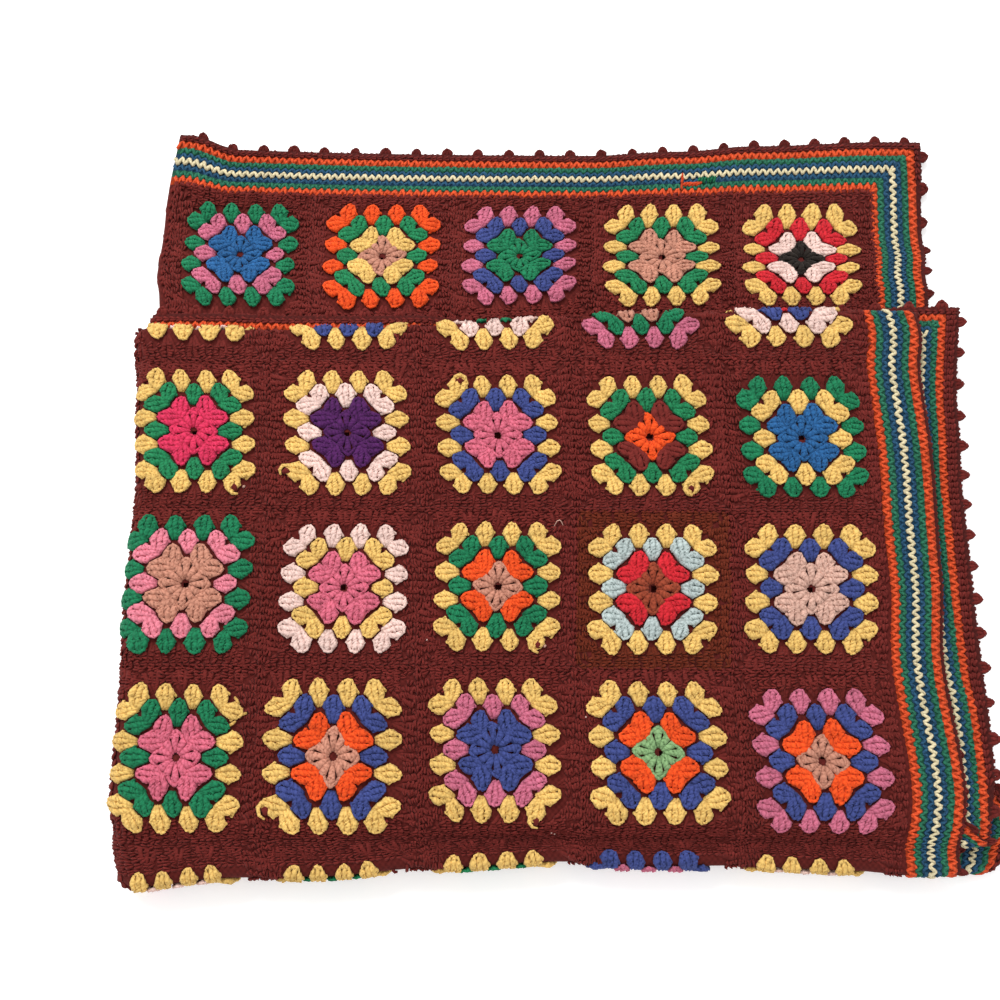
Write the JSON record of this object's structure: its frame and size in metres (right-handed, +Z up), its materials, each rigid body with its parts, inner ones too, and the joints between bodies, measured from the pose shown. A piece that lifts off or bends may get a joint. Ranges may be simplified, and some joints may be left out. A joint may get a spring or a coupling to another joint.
{
  "type": "granny square blanket, folded",
  "caption": "Crochet granny square blanket with a striped border and picot edging, folded crosswise back and forth and then lengthwise into a flat stack with one free end showing",
  "frame": {"origin": "on the surface that the blanket lies on, under the middle of its bounding box", "axes": "+X from the lengthwise fold to the open side with the borders, +Y from the near fold to the free end, +Z up"},
  "size_m": [0.6738, 0.6148, 0.0421],
  "materials": {
    "ground_yarn": "dark brown worsted yarn, double crochet, soft matt with a light halo of fibres",
    "yarn_yellow": "warm yellow worsted yarn",
    "yarn_green": "bright green worsted yarn",
    "yarn_dark_green": "dark green worsted yarn",
    "yarn_royal_blue": "royal blue worsted yarn",
    "yarn_cobalt": "cobalt blue worsted yarn",
    "yarn_orchid": "orchid pink worsted yarn",
    "yarn_rose": "rose pink worsted yarn",
    "yarn_pink": "pale pink worsted yarn",
    "yarn_hot_pink": "hot pink worsted yarn",
    "yarn_orange": "bright orange worsted yarn",
    "yarn_red": "red worsted yarn",
    "yarn_white": "off white worsted yarn",
    "yarn_tan": "tan worsted yarn",
    "yarn_beige": "beige pink worsted yarn",
    "yarn_rust": "rust brown worsted yarn",
    "yarn_pale_green": "pale green worsted yarn",
    "yarn_pale_blue": "pale blue worsted yarn",
    "yarn_black": "black worsted yarn",
    "yarn_purple": "deep purple worsted yarn",
    "yarn_cream": "cream worsted yarn",
    "border_blue": "muted blue worsted yarn",
    "border_green": "muted green worsted yarn",
    "border_orange": "deep orange worsted yarn"
  },
  "bodies": {
    "root": {"blanket": "ground_yarn"}
  },
  "joints": []
}
